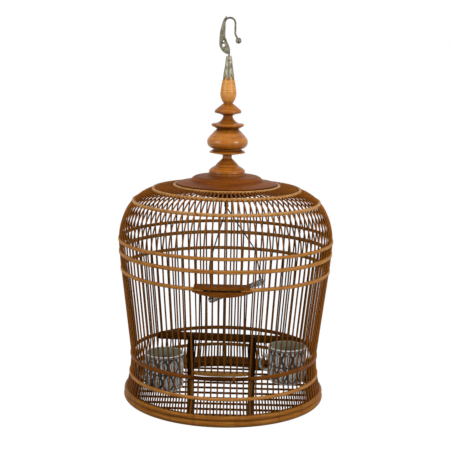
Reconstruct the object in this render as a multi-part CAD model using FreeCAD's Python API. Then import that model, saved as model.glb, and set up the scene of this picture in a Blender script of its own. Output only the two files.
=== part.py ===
import FreeCAD, Part
import math
import os

# Round bird cage of split bamboo bars threaded through rattan hoops, with a turned wooden top.
# Millimetres. The origin is the centre of the base's underside, +Z is up, and the door faces -Y.
# Angles around the cage are in degrees from the front, positive towards +X.

V = FreeCAD.Vector
UP = V(0, 0, 1)
ORIGIN = V(0, 0, 0)

# Fits
bar_play = 0.3            # radial clearance of a bar in its hole
seat_gap = 0.3            # clearance between a piece and its seat
peg_play = 0.05           # radial clearance of a dowel or a glued rod in its hole
rod_play = 0.2            # radial clearance of a floor rod in its groove

# Wall: the bars' centre line by radius and height of its corners, and the rounding at each corner
bar_radius = 1.3
bar_count = 96
wall_foot_radius = 169.0
knee_radius, knee_height, knee_round = 162.2, 46.0, 110.0
waist_radius, waist_height, waist_round = 159.7, 74.0, 150.0
chest_radius, chest_height, chest_round = 179.3, 240.0, 500.0
shoulder_radius, shoulder_height, shoulder_round = 184.0, 299.0, 110.0
brow_radius, brow_height, brow_round = 158.8, 353.5, 70.0
crown_radius, crown_height, crown_round = 120.0, 366.6, 150.0
crown_end_radius, crown_end_height = 81.6, 372.4

# Hoops: the level of each hoop on the wall, or its radius on the crown, and its own height
hoop_width = 5.0
hoop_corner = 1.7
skirt_hoop_level, skirt_hoop_height = 44.8, 5.6
waist_hoop_level, waist_hoop_height = 78.0, 6.4
belly_low_level, belly_low_height = 228.9, 6.0
belly_mid_level, belly_mid_height = 258.6, 6.4
belly_high_level, belly_high_height = 279.5, 5.6
shoulder_hoop_level, shoulder_hoop_height = 345.0, 5.6
crown_outer_radius, crown_outer_height = 125.3, 6.0
crown_inner_radius, crown_inner_height = 89.0, 5.2

# Base: two stacked rattan bands, half round on the outside
base_low_inner, base_low_outer, base_low_height, base_low_round = 163.5, 174.0, 11.0, 4.6
base_top_inner, base_top_outer, base_top_height, base_top_round = 164.2, 173.2, 8.0, 3.4

# Floor rods, let in between the two bands
rod_radius = 1.9
rod_pitch = 28.2
rod_count = 11
rod_bearing = 2.0

# Door: bars and a bottom rail that slide up between two grooved posts and through the lintel
door_bar_count = 8
door_lean = 2.9
door_bar_circle = 157.5
door_bar_length = 151.0
rail_back = 145.0
rail_nose = 3.1
rail_height = 4.5
post_steps = 5
post_width = 9.0
post_depth = 8.0
post_rise = 66.0
post_foot_drop = 1.2
groove_depth = 3.4
groove_width = 3.8
tongue_play = 0.3

# Lintel: two boards that clamp the cut ends of the lower belly hoop
lintel_back = 157.0
lintel_lap = 3.6
lintel_top_half, lintel_top_lip, lintel_top_thick = 45.0, 1.0, 4.6
lintel_low_half, lintel_low_lip, lintel_low_thick = 48.0, 3.8, 7.3
lintel_low_tip = 1.6
lintel_low_droop = 6.6
hoop_gap_half = 30.0
lintel_peg_steps = 3
lintel_peg_bite = 3.0

# Dowels, and the cane binding on the waist hoop's scarf joint
peg_radius = 1.25
peg_depth = 7.5
binding_steps = 2
binding_width = 4.2
binding_thick = 0.7

# Lower perch: a straight rod across the back, between two gaps of the bars
perch_radius = 7.4
perch_drop = 2.0
perch_left_steps = -35
perch_right_steps = 33

# Top cap, with the crown bars let into its rim, the nut sunk in its underside and the boss below
cap_rim_radius = 85.2
cap_lip_below, cap_lip_above = 5.9, 3.6
cap_groove_depth = 4.4
cap_step_radius, cap_step_rise = 62.0, 4.0
cap_crown_radius, cap_crown_rise = 48.0, 8.0
cap_bulge = 2.0
cap_top_rise = 2.0
cap_edge = 1.0
tie_radius = 2.0
tie_play = 0.3
tie_tail = 3.0
boss_radius, boss_length = 12.5, 16.9
plate_radius, plate_thick = 57.0, 9.0
boss_flare = 2.5
washer_radius, washer_thick = 8.6, 1.2
nut_across_flats, nut_height = 10.0, 5.0

# Finial: turned pieces stacked on the tie rod, each by its own height and widest radius
foot_radius, foot_height = 31.2, 29.0
foot_step_radius = 19.9
neck_radius = 8.0
bulb_radius, bulb_height = 34.7, 49.3
bulb_plate_radius = 30.4
bulb_top_radius = 18.2
disc_radius, disc_height = 27.5, 21.0
umbrella_radius, umbrella_height = 22.5, 22.6
drop_radius, drop_height = 13.7, 38.0

# Ferrule: a cone with leaf points that grips the drop's tenon and holds the hook's swivel head
tenon_radius, tenon_tip_radius, tenon_height = 9.5, 5.0, 22.1
ferrule_wall = 0.9
ferrule_floor = 3.2
ferrule_top_radius = 4.6
ferrule_neck = 6.0
leaf_notch = 10.5
leaf_count = 6
swivel_radius, swivel_height = 3.4, 4.2
swivel_room = 8.9

# Hook: bent wire, a ball at its tip and a pierced leaf on its back, by height above the ferrule
hook_radius = 1.6
hook_neck_rise = 12.0
hook_bend_rise = 31.0
hook_turn_rise = 54.0
hook_tip_rise = 36.0
hook_back_x, hook_tip_x = -8.2, 9.8
hook_round = 12.0
hook_tip_round = 8.0
ball_x, ball_rise, ball_radius = 15.4, 25.6, 5.0
leaf_thick = 2.6
leaf_foot_rise = 2.4
leaf_side_x, leaf_side_rise = -16.6, 23.0
leaf_top_x, leaf_top_rise = -10.4, 59.0
leaf_tip_x, leaf_tip_rise = -5.6, 66.6
pierce_x, pierce_rise, pierce_radius, pierce_length = -9.4, 17.5, 2.3, 6.6

# Swing: a wire bow hung from a screw eye, a round perch and two porcelain end caps
swing_yaw = 59.0
swing_tilt = -10.0        # the swing is caught a little to the right of its lowest place
eye_ring_radius, eye_wire_radius = 4.6, 1.1
eye_neck = 1.8
eye_shank = 7.0
swing_wire_radius = 1.1
swing_wire_play = 0.2
swing_loop_radius = 3.3
swing_knot_radius = 1.6
swing_drop = 148.7
swing_half = 81.0
swing_elbow_reach, swing_elbow_drop, swing_elbow_round = 75.0, 89.7, 45.0
swing_perch_radius = 3.2
swing_perch_end = 2.0
sleeve_length = 48.0
sleeve_slim_radius, sleeve_full_radius = 4.3, 5.8
sleeve_end_wall = 4.0

# Cups: two straight porcelain cups with one ear each, standing on the floor rods
cup_radius, cup_height, cup_wall, cup_floor = 34.0, 65.0, 3.0, 5.0
cup_foot_radius, cup_foot_width, cup_foot_height = 28.5, 4.0, 2.5
cup_round = 9.0
ear_reach, ear_span, ear_radius = 14.0, 26.0, 3.0
left_cup_x, left_cup_y = -103.0, -14.0
right_cup_x, right_cup_y = 112.5, 45.0

# Levels, angles and directions that follow from the sizes above
bar_step = 360.0 / bar_count
bar_angles = [(i + 0.5) * bar_step - 180 for i in range(bar_count)]
filler_angles = [i * bar_step - 180 for i in range(bar_count)]
door_angles = [(i - (door_bar_count - 1) / 2) * bar_step for i in range(door_bar_count)]
wall_angles = [a for a in bar_angles if abs(a) > door_bar_count * bar_step / 2]
post_angle = post_steps * bar_step
lean = V(0, -math.sin(math.radians(door_lean)), math.cos(math.radians(door_lean)))
swing_way = V(math.cos(math.radians(swing_yaw)), math.sin(math.radians(swing_yaw)), 0)
bar_foot = base_low_height + seat_gap
floor_top = base_low_height + rod_radius
waist_top = waist_hoop_level + waist_hoop_height / 2
rail_level = waist_top + binding_thick + 2 * seat_gap
lintel_slot = belly_low_level - belly_low_height / 2 - seat_gap
lintel_shelf = lintel_slot + lintel_lap + seat_gap
lintel_top = lintel_shelf + lintel_top_thick
cap_under = crown_end_height - cap_lip_below
cap_rim_top = crown_end_height + cap_lip_above
cap_step_level = cap_rim_top + cap_step_rise
cap_crown_level = cap_step_level + cap_crown_rise
cap_top = cap_crown_level + cap_top_rise
bulb_level = cap_top + foot_height
disc_level = bulb_level + bulb_height
umbrella_level = disc_level + disc_height
drop_level = umbrella_level + umbrella_height
tenon_level = drop_level + drop_height
tenon_top = tenon_level + tenon_height
swivel_floor = tenon_top + ferrule_floor
swivel_ceiling = swivel_floor + swivel_room
ferrule_top = swivel_ceiling + ferrule_neck
boss_bottom = cap_under - boss_length
nut_room = washer_thick + nut_height + tie_tail + seat_gap
nut_level = cap_under + nut_room - washer_thick - nut_height
eye_level = boss_bottom - eye_neck - eye_ring_radius - eye_wire_radius
eye_bar_level = eye_level - eye_ring_radius
loop_level = eye_bar_level + eye_wire_radius + seat_gap + swing_wire_radius - swing_loop_radius
swing_level = eye_bar_level - swing_drop
swing_perch_half = swing_half + swing_perch_end
tie_hole = tie_radius + tie_play


def spin(shape, degrees):
    """A copy turned about the cage's axis."""
    turned_copy = shape.copy()
    turned_copy.rotate(ORIGIN, UP, degrees)
    return turned_copy


def facing(shape, angle):
    """A copy of a shape drawn on the +X side, turned to an angle from the front."""
    return spin(shape, angle - 90)


def ring_of(shape, angles):
    """Copies of a shape drawn on the +X side, one at each angle."""
    return Part.makeCompound([facing(shape, angle) for angle in angles])


def around(angle, radius, level):
    """The point at an angle from the front, a radius and a level."""
    way = math.radians(angle)
    return V(radius * math.sin(way), -radius * math.cos(way), level)


def rounded_path(corners):
    """A wire of straight runs and tangent arcs through (point, rounding) corners."""
    edges = []
    start = corners[0][0]
    for i in range(1, len(corners) - 1):
        corner, rounding = corners[i]
        back = (corners[i - 1][0] - corner).normalize()
        ahead = (corners[i + 1][0] - corner).normalize()
        half = back.getAngle(ahead) / 2
        reach = rounding / math.tan(half)
        first = corner + back * reach
        last = corner + ahead * reach
        middle = corner + (back + ahead).normalize() * (rounding / math.sin(half) - rounding)
        edges.append(Part.LineSegment(start, first).toShape())
        edges.append(Part.Arc(first, middle, last).toShape())
        start = last
    edges.append(Part.LineSegment(start, corners[-1][0]).toShape())
    return Part.Wire(edges)


def rod_along(path, radius):
    """A round rod swept along a wire."""
    first = path.OrderedEdges[0]
    start = path.OrderedVertexes[0].Point
    way = first.tangentAt(first.Curve.parameter(start))
    section = Part.Wire(Part.makeCircle(radius, start, way))
    return path.makePipeShell([section], True, False)


def rod_between(start, end, radius):
    """A straight round rod."""
    return Part.makeCylinder(radius, (end - start).Length, start, end - start)


def outline(steps):
    """A closed wire of (x, z) points. A step ((x, z), (x, z)) is an arc through its first point."""
    edges = []
    here = V(steps[0][0], 0, steps[0][1])
    for step in steps[1:] + steps[:1]:
        if isinstance(step[0], tuple):
            through = V(step[0][0], 0, step[0][1])
            there = V(step[1][0], 0, step[1][1])
            edges.append(Part.Arc(here, through, there).toShape())
        else:
            there = V(step[0], 0, step[1])
            edges.append(Part.LineSegment(here, there).toShape())
        here = there
    return Part.Wire(edges)


def turned(steps):
    """A solid of revolution about the cage's axis from (radius, level) steps."""
    return Part.Face(outline(steps)).revolve(ORIGIN, UP, 360)


def box_between(low, high):
    """An upright box from its lowest to its highest corner."""
    return Part.makeBox(high.x - low.x, high.y - low.y, high.z - low.z, low)


def slab(low, high):
    """All the room of the cage between two levels."""
    room = 2 * shoulder_radius
    return box_between(V(-room, -room, low), V(room, room, high))


def band(inner, outer, low, high, corner):
    """A hoop of rounded rectangular section."""
    k = corner * (1 - math.sqrt(0.5))
    return turned([
        (inner, (low + high) / 2), (inner, high - corner),
        ((inner + k, high - k), (inner + corner, high)), (outer - corner, high),
        ((outer - k, high - k), (outer, high - corner)), (outer, low + corner),
        ((outer - k, low + k), (outer - corner, low)), (inner + corner, low),
        ((inner + k, low + k), (inner, low + corner))])


bar_path = rounded_path([
    (V(wall_foot_radius, 0, bar_foot), 0),
    (V(knee_radius, 0, knee_height), knee_round),
    (V(waist_radius, 0, waist_height), waist_round),
    (V(chest_radius, 0, chest_height), chest_round),
    (V(shoulder_radius, 0, shoulder_height), shoulder_round),
    (V(brow_radius, 0, brow_height), brow_round),
    (V(crown_radius, 0, crown_height), crown_round),
    (V(crown_end_radius, 0, crown_end_height), 0)])
whole_bar = rod_along(bar_path, bar_radius)


def wall_radius(level):
    """Radius of the bars' centre line at a level of the wall."""
    ray = Part.LineSegment(V(0, 0, level), V(2 * shoulder_radius, 0, level)).toShape()
    return bar_path.distToShape(ray)[1][0][0].x


def crown_level(radius):
    """Level of the bars' centre line at a radius of the crown."""
    ray = Part.LineSegment(V(radius, 0, shoulder_height), V(radius, 0, cap_top)).toShape()
    return bar_path.distToShape(ray)[1][0][0].z


def bar_drill(point):
    """A drill along the bars at a point of their centre line, on the +X side."""
    for edge in bar_path.OrderedEdges:
        if edge.distToShape(Part.Vertex(point))[0] < 0.001:
            way = edge.tangentAt(edge.Curve.parameter(point))
    return rod_between(point - way * 2 * hoop_width, point + way * 2 * hoop_width,
                       bar_radius + bar_play)


def hoop_at(radius, level, height, angles):
    """A rattan hoop drilled for the bars at the given angles."""
    half = hoop_width / 2
    ring = band(radius - half, radius + half, level - height / 2, level + height / 2, hoop_corner)
    drill = bar_drill(V(radius, 0, level))
    return ring.cut([facing(drill, angle) for angle in angles])


def wall_hoop(level, height, angles):
    return hoop_at(wall_radius(level), level, height, angles)


def crown_hoop(radius, height):
    return hoop_at(radius, crown_level(radius), height, bar_angles)


def bar_stretch(low, high):
    """The part of a bar between two levels."""
    return whole_bar.common(slab(low, high))


def waist_peg(angle, radius):
    """A dowel driven inwards through the waist hoop."""
    outer = wall_radius(waist_hoop_level) + hoop_width / 2
    inner = outer - hoop_width - peg_depth
    return rod_between(around(angle, outer, waist_hoop_level),
                       around(angle, inner, waist_hoop_level), radius)


perch_angles = [perch_left_steps * bar_step, perch_right_steps * bar_step]
waist_peg_angles = [-post_angle, post_angle] + perch_angles
waist_peg_holes = [waist_peg(angle, peg_radius + peg_play) for angle in waist_peg_angles]


def half_round_band(inner, outer, low, high, rounding):
    """A base band, flat inside, above and below, and half round outside."""
    return turned([(inner, low), (outer - rounding, low),
                   ((outer, (low + high) / 2), (outer - rounding, high)), (inner, high)])


def floor_rod(row, radius, reach):
    """A floor rod from side to side at a row's distance from the middle."""
    y = row * rod_pitch
    half = math.sqrt(reach ** 2 - y ** 2)
    return rod_between(V(-half, y, base_low_height), V(half, y, base_low_height), radius)


rod_rows = [i - (rod_count - 1) / 2 for i in range(rod_count)]
rod_reach = base_top_inner + rod_bearing
rod_grooves = [floor_rod(row, rod_radius + rod_play, rod_reach + rod_play) for row in rod_rows]


def base_bands():
    low = half_round_band(base_low_inner, base_low_outer, 0, base_low_height, base_low_round)
    top = half_round_band(base_top_inner, base_top_outer, base_low_height,
                          base_low_height + base_top_height, base_top_round)
    drill = bar_drill(V(wall_radius(bar_foot), 0, bar_foot))
    holes = [facing(drill, angle).common(slab(base_low_height, knee_height))
             for angle in bar_angles + filler_angles]
    return low.cut(rod_grooves), top.cut(rod_grooves).cut(holes)


def waist_hoop():
    ring = wall_hoop(waist_hoop_level, waist_hoop_height, bar_angles)
    return ring.cut(waist_peg_holes)


def waist_binding():
    """A turn of split cane round the waist hoop, over its scarf joint."""
    radius = wall_radius(waist_hoop_level)
    half_width = hoop_width / 2
    half_height = waist_hoop_height / 2

    def sleeve(grow):
        return band(radius - half_width - grow, radius + half_width + grow,
                    waist_hoop_level - half_height - grow, waist_hoop_level + half_height + grow,
                    hoop_corner + grow)

    half = binding_width / 2
    stretch = box_between(V(radius - hoop_width, -half, 0), V(radius + hoop_width, half, waist_top * 2))
    return sleeve(binding_thick + peg_play).common(facing(stretch, binding_steps * bar_step)).cut(
        sleeve(peg_play))


def door_bar(angle, radius, length):
    """A door bar, parallel to the slide."""
    foot = around(angle, door_bar_circle, rail_level + seat_gap)
    return rod_between(foot, foot + lean * length, radius)


door_drill = door_bar_length + lintel_top_thick
door_bar_holes = [door_bar(angle, bar_radius + bar_play, door_drill) for angle in door_angles]


def lintel_peg(side, radius):
    """A dowel down through the upper board and the hoop's end into the lower board."""
    angle = side * lintel_peg_steps * bar_step
    circle = wall_radius(belly_low_level)
    return rod_between(around(angle, circle, lintel_slot - lintel_peg_bite),
                       around(angle, circle, lintel_top), radius)


lintel_peg_holes = [lintel_peg(side, peg_radius + peg_play) for side in (-1, 1)]


def lintel_upper():
    """The straight-backed board on top of the hoop's ends, drilled for door and head bars."""
    front = wall_radius(belly_low_level) + hoop_width / 2 + lintel_top_lip
    board = Part.makeCylinder(front, lintel_top_thick, V(0, 0, lintel_shelf)).common(
        box_between(V(-lintel_top_half, -front, lintel_shelf),
                    V(lintel_top_half, -lintel_back, lintel_top)))
    drill = bar_drill(V(wall_radius(lintel_top), 0, lintel_top))
    return board.cut(door_bar_holes + [facing(drill, angle) for angle in door_angles] + lintel_peg_holes)


def lintel_lower():
    """The boat-shaped board under the hoop's ends, drilled for the door bars."""
    half = lintel_low_half
    front = wall_radius(belly_low_level) + hoop_width / 2 + lintel_low_lip
    end = front - 2 * lintel_low_droop
    plan = Part.Wire([
        Part.LineSegment(V(-half, -lintel_back, 0), V(half, -lintel_back, 0)).toShape(),
        Part.LineSegment(V(half, -lintel_back, 0), V(half, -end, 0)).toShape(),
        Part.Arc(V(half, -end, 0), V(0, -front, 0), V(-half, -end, 0)).toShape(),
        Part.LineSegment(V(-half, -end, 0), V(-half, -lintel_back, 0)).toShape()])
    side = outline([(-half, lintel_slot), (half, lintel_slot), (half, lintel_slot - lintel_low_tip),
                    ((0, lintel_slot - lintel_low_thick), (-half, lintel_slot - lintel_low_tip))])
    board = Part.Face(plan).extrude(UP * lintel_top).common(Part.Face(side).extrude(V(0, -2 * front, 0)))
    return board.cut(door_bar_holes + lintel_peg_holes)


def cut_belly_hoop():
    """The lower belly hoop, cut away at the door and lapped under the lintel's upper board."""
    ring = wall_hoop(belly_low_level, belly_low_height, wall_angles)
    room = 2 * shoulder_radius
    doorway = box_between(V(-hoop_gap_half, -room, 0), V(hoop_gap_half, 0, room))
    half = lintel_top_half + seat_gap
    lap = box_between(V(-half, -room, lintel_slot + lintel_lap), V(half, 0, room))
    return ring.cut([doorway, lap] + lintel_peg_holes)


post_circle = wall_radius(waist_hoop_level) - hoop_width / 2 - seat_gap - post_depth / 2


def at_post(shape):
    """Brings a shape drawn at the front, on the right post's own axis, to its place and lean."""
    placed = spin(shape, post_angle)
    centre = around(post_angle, post_circle, waist_hoop_level)
    placed.rotate(V(0, centre.y, waist_hoop_level), V(1, 0, 0), door_lean)
    return placed


def post_block(inner, outer, depth):
    """A long upright block on the post's axis, from its door side to its far side."""
    return at_post(box_between(V(inner, -post_circle - depth / 2, -waist_top),
                               V(outer, -post_circle + depth / 2, 3 * waist_top)))


def mirrored(shape):
    return shape.mirror(ORIGIN, V(1, 0, 0))


def right_post():
    """A post notched over the front floor rod, pegged to the waist hoop and grooved for the rail."""
    side = post_width / 2
    post = post_block(-side, side, post_depth).common(
        slab(base_low_height - post_foot_drop, waist_top + post_rise))
    groove = post_block(-2 * side, -side + groove_depth, groove_width).common(
        slab(waist_top, 2 * (waist_top + post_rise)))
    rod = floor_rod(rod_rows[0], rod_radius + seat_gap, rod_reach)
    return post.cut([groove, rod] + waist_peg_holes)


def door_rail():
    """The bottom rail, with a nose under the door bars and a tongue at each end in the posts' grooves."""
    side = post_width / 2
    level = slab(rail_level, rail_level + rail_height)

    def board_to(front, reach):
        return Part.makeCylinder(front, rail_height, V(0, 0, rail_level)).common(
            box_between(V(-reach, -front, rail_level), V(reach, -rail_back, rail_level + rail_height)))

    inside_bars = wall_radius(rail_level) - bar_radius - 2 * bar_play
    nose_half = around(door_bar_count * bar_step / 2, door_bar_circle, 0).x
    board = board_to(inside_bars, around(post_angle, post_circle, 0).x).fuse(
        board_to(door_bar_circle + rail_nose, nose_half))
    clear = post_block(-side - tongue_play, 2 * side, 2 * rail_back)
    tongue = post_block(-2 * side, -side + groove_depth - tongue_play,
                        groove_width - 2 * tongue_play).common(level)
    board = board.cut([clear, mirrored(clear)]).fuse([tongue, mirrored(tongue)])
    return board.removeSplitter().cut(door_bar_holes)


def lower_perch():
    """A rod across the back whose ends meet the inside of the waist hoop."""
    circle = wall_radius(waist_hoop_level) - hoop_width / 2 - seat_gap
    level = waist_hoop_level - perch_drop
    left, right = [around(angle, circle, level) for angle in perch_angles]
    way = (right - left).normalize()
    rod = rod_between(left - way * 2 * perch_radius, right + way * 2 * perch_radius, perch_radius)
    inside = Part.makeCylinder(circle, 4 * perch_radius, V(0, 0, level - 2 * perch_radius))
    return rod.common(inside).cut(waist_peg_holes)


def top_cap():
    """The turned cap, sunk below for the nut. The crown bars' ends lie in a groove round its rim."""
    rim = cap_rim_radius
    groove_low = crown_level(rim) - bar_radius - seat_gap
    groove_top = crown_end_height + bar_radius + seat_gap
    dome = ((cap_step_radius + cap_crown_radius) / 2 + cap_bulge,
            (cap_step_level + cap_crown_level) / 2 + cap_bulge)
    return turned([
        (tie_hole, cap_under + nut_room), (washer_radius + seat_gap, cap_under + nut_room),
        (washer_radius + seat_gap, cap_under), (rim - cap_edge, cap_under), (rim, cap_under + cap_edge),
        (rim, groove_low), (rim - cap_groove_depth, groove_low), (rim - cap_groove_depth, groove_top),
        (rim, groove_top), (rim, cap_rim_top - cap_edge), (rim - cap_edge, cap_rim_top),
        (cap_step_radius, cap_step_level), (dome, (cap_crown_radius, cap_crown_level)),
        (foot_radius + cap_edge, cap_top), (tie_hole, cap_top)])


def cap_boss():
    """A plate and boss, turned in one, under the cap: it covers the nut and carries the swing's eye."""
    hole = eye_wire_radius + peg_play
    rounding = boss_flare
    k = rounding * (1 - math.sqrt(0.5))
    plate_under = cap_under - plate_thick
    return turned([
        (hole, boss_bottom), (boss_radius - rounding, boss_bottom),
        ((boss_radius - k, boss_bottom + k), (boss_radius, boss_bottom + rounding)),
        (boss_radius, plate_under - rounding), (boss_radius + rounding, plate_under),
        (plate_radius - rounding, plate_under),
        ((plate_radius - k, plate_under + k), (plate_radius, plate_under + rounding)),
        (plate_radius, cap_under), (hole, cap_under)])


def tie_washer():
    low = nut_level + nut_height
    return turned([(tie_hole, low), (washer_radius, low), (washer_radius, low + washer_thick),
                   (tie_hole, low + washer_thick)])


def tie_nut():
    """A hexagon nut on the tie rod's lower end."""
    corner = nut_across_flats / math.sqrt(3)
    points = [around(60 * i, corner, nut_level) for i in range(7)]
    hexagon = Part.Face(Part.makePolygon(points)).extrude(UP * nut_height)
    return hexagon.cut(Part.makeCylinder(tie_radius + peg_play, 2 * nut_height, V(0, 0, nut_level)))


tie_top = tenon_top - tie_tail


def tie_rod():
    return Part.makeCylinder(tie_radius, tie_top - nut_level + tie_tail, V(0, 0, nut_level - tie_tail))


def finial_foot():
    """The finial's foot: two bands, a swelling step and a neck."""
    z = cap_top
    return turned([
        (tie_hole, z), (foot_radius, z), (foot_radius, z + 3.5), (foot_radius - 1.1, z + 4.0),
        (foot_radius - 0.5, z + 4.6), (foot_radius - 0.8, z + 7.8),
        ((foot_radius - 3.9, z + 10.8), (foot_step_radius, z + 15.2)),
        (foot_step_radius - 1.2, z + 17.6),
        ((foot_step_radius - 5.2, z + 21.6), (neck_radius, bulb_level - 1.0)),
        (neck_radius, bulb_level), (tie_hole, bulb_level)])


def finial_bulb():
    """A thin plate and the finial's main bulb."""
    z = bulb_level
    return turned([
        (tie_hole, z), (neck_radius, z), (neck_radius, z + 4.6),
        ((bulb_plate_radius - 9.0, z + 7.2), (bulb_plate_radius, z + 9.0)),
        (bulb_plate_radius, z + 10.6), (bulb_plate_radius - 6.4, z + 14.4),
        (bulb_plate_radius - 6.0, z + 16.0),
        ((bulb_radius - 0.4, z + 24.0), (bulb_radius - 1.5, z + 33.0)),
        ((bulb_radius - 6.0, z + 38.4), (bulb_top_radius, disc_level)), (tie_hole, disc_level)])


def finial_disc():
    """A sharp disc above the bulb, with a cove up to its neck."""
    z = disc_level
    return turned([
        (tie_hole, z), (bulb_top_radius, z), (disc_radius - 2.0, z + 4.0),
        ((disc_radius, z + 6.2), (disc_radius - 0.8, z + 8.4)),
        ((disc_radius - 12.3, z + 11.4), (neck_radius + 1.2, z + 17.8)),
        (neck_radius, umbrella_level), (tie_hole, umbrella_level)])


def finial_umbrella():
    """An umbrella-shaped disc between the two necks."""
    z = umbrella_level
    return turned([
        (tie_hole, z), (neck_radius, z), (neck_radius + 0.4, z + 1.6),
        ((umbrella_radius - 9.0, z + 3.8), (umbrella_radius - 0.6, z + 5.8)),
        ((umbrella_radius, z + 8.0), (umbrella_radius - 0.6, z + 10.4)),
        ((umbrella_radius - 7.2, z + 16.0), (neck_radius, drop_level - 1.2)),
        (neck_radius, drop_level), (tie_hole, drop_level)])


def finial_drop():
    """The slim drop at the top, with a tapered tenon for the ferrule."""
    z = drop_level
    blind = tie_top + tie_play
    return turned([
        (tie_hole, z), (neck_radius, z), ((drop_radius - 2.0, z + 6.4), (drop_radius, z + 16.0)),
        ((drop_radius - 1.2, z + 26.0), (tenon_radius + ferrule_wall, tenon_level)),
        (tenon_radius, tenon_level), (tenon_tip_radius, tenon_top), (0, tenon_top), (0, blind),
        (tie_hole, blind)])


def hook_ferrule():
    """A metal cone with leaf points below and a chamber for the hook's swivel head above."""
    bore = hook_radius + bar_play
    room = swivel_radius + bar_play
    ferrule = turned([
        (0, tenon_top + peg_play), (tenon_tip_radius + peg_play, tenon_top + peg_play),
        (tenon_radius + peg_play, tenon_level + seat_gap),
        (tenon_radius + ferrule_wall, tenon_level + seat_gap),
        (tenon_tip_radius + 2 * ferrule_wall, tenon_top), (room + 2 * ferrule_wall, swivel_ceiling),
        (ferrule_top_radius, ferrule_top - ferrule_wall),
        (ferrule_top_radius - ferrule_wall, ferrule_top),
        (bore, ferrule_top), (bore, swivel_ceiling), (room, swivel_ceiling), (room, swivel_floor),
        (0, swivel_floor)])
    half = 0.9 * math.pi * tenon_radius / leaf_count
    notch = Part.Face(Part.makePolygon([
        V(0, -half, tenon_level), V(0, half, tenon_level), V(0, 0, tenon_level + leaf_notch),
        V(0, -half, tenon_level)])).extrude(V(2 * tenon_radius, 0, 0))
    return ferrule.cut([spin(notch, 360 * i / leaf_count) for i in range(leaf_count)])


def hook_point(x, rise):
    """A point of the hook's plane, by its height above the ferrule."""
    return V(x, 0, ferrule_top + rise)


hook_turn_radius = (hook_tip_x - hook_back_x) / 2
hook_turn_x = (hook_tip_x + hook_back_x) / 2
hook_start = V(0, 0, swivel_ceiling - seat_gap)
hook_back_path = rounded_path([
    (hook_start, 0), (hook_point(0, hook_neck_rise), hook_round),
    (hook_point(hook_back_x, hook_bend_rise), hook_round),
    (hook_point(hook_back_x, hook_turn_rise), 0)])
hook_turn = Part.Arc(hook_point(hook_back_x, hook_turn_rise),
                     hook_point(hook_turn_x, hook_turn_rise + hook_turn_radius),
                     hook_point(hook_tip_x, hook_turn_rise)).toShape()
hook_front_path = rounded_path([
    (hook_point(hook_tip_x, hook_turn_rise), 0),
    (hook_point(hook_tip_x, hook_tip_rise), hook_tip_round),
    (hook_point(ball_x, ball_rise), 0)])
hook_path = Part.Wire(hook_back_path.Edges + [hook_turn] + hook_front_path.Edges)


def hook_wire():
    """The bent hook wire with its swivel head."""
    head = Part.makeCylinder(swivel_radius, swivel_height, hook_start - UP * swivel_height)
    return rod_along(hook_path, hook_radius).fuse(head).removeSplitter()


def hook_ball():
    """The ball at the hook's tip, drilled to its middle for the wire."""
    ball = Part.makeSphere(ball_radius, hook_point(ball_x, ball_rise))
    return ball.cut(rod_along(hook_front_path, hook_radius + peg_play))


def hook_leaf():
    """The pierced leaf along the hook's back."""
    turn = math.radians(120)
    lift = hook_turn_radius
    wire_side = (hook_turn_x + lift * math.cos(turn), hook_turn_rise + lift * math.sin(turn))
    bow = ((hook_turn_x + lift * math.cos(1.25 * turn), hook_turn_rise + lift * math.sin(1.25 * turn)),
           (hook_back_x, hook_turn_rise))
    steps = [
        (0, leaf_foot_rise),
        ((0.8 * leaf_side_x, 0.45 * leaf_side_rise), (leaf_side_x, leaf_side_rise)),
        ((0.55 * leaf_side_x + 0.45 * leaf_top_x - 0.8, 0.4 * leaf_side_rise + 0.6 * leaf_top_rise),
         (leaf_top_x, leaf_top_rise)),
        (leaf_tip_x, leaf_tip_rise), wire_side, bow, (hook_back_x, hook_bend_rise), (0, hook_neck_rise)]
    leaf = Part.Face(outline(steps)).extrude(V(0, leaf_thick, 0))
    leaf.translate(V(0, -leaf_thick / 2, ferrule_top))

    def hole(x, rise, radius):
        start = hook_point(x, rise) - V(0, leaf_thick, 0)
        return Part.makeCylinder(radius, 2 * leaf_thick, start, V(0, 1, 0))

    pierced = [hole(pierce_x, pierce_rise, pierce_radius),
               hole(pierce_x, pierce_rise + pierce_length, 0.6 * pierce_radius)]
    return leaf.cut([rod_along(hook_path, hook_radius + peg_play)] + pierced)


def swing_eye():
    """The screw eye under the boss. Its ring lies along the swing's perch."""
    across = swing_way.cross(UP)
    ring = Part.makeTorus(eye_ring_radius, eye_wire_radius, V(0, 0, eye_level), across)
    shank = rod_between(V(0, 0, eye_level + eye_ring_radius), V(0, 0, boss_bottom + eye_shank),
                        eye_wire_radius)
    return ring.fuse(shank).removeSplitter()


def hung(shape):
    """Turns a shape of the upright swing about the eye, to where the swing is caught."""
    shape.rotate(V(0, 0, eye_bar_level), swing_way, swing_tilt)
    return shape


def swing_point(reach, level):
    """A point of the swing's plane, by its reach along the perch."""
    return swing_way * reach + V(0, 0, level)


def swing_leg(side, radius):
    """One leg of the swing's wire bow, from the loop to the perch."""
    return rod_along(rounded_path([
        (swing_point(0, loop_level - swing_loop_radius), 0),
        (swing_point(side * swing_elbow_reach, eye_bar_level - swing_elbow_drop), swing_elbow_round),
        (swing_point(side * swing_half, swing_level - swing_perch_radius / 2), 0)]), radius)


def swing_wire():
    """The bow: one wire bent from end to end, with a loop over the eye."""
    loop = Part.makeTorus(swing_loop_radius, swing_wire_radius, V(0, 0, loop_level), swing_way)
    knot = Part.makeSphere(swing_knot_radius, V(0, 0, loop_level - swing_loop_radius))
    legs = [swing_leg(side, swing_wire_radius) for side in (-1, 1)]
    return loop.fuse([knot] + legs).removeSplitter()


leg_holes = [swing_leg(side, swing_wire_radius + swing_wire_play) for side in (-1, 1)]


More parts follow.
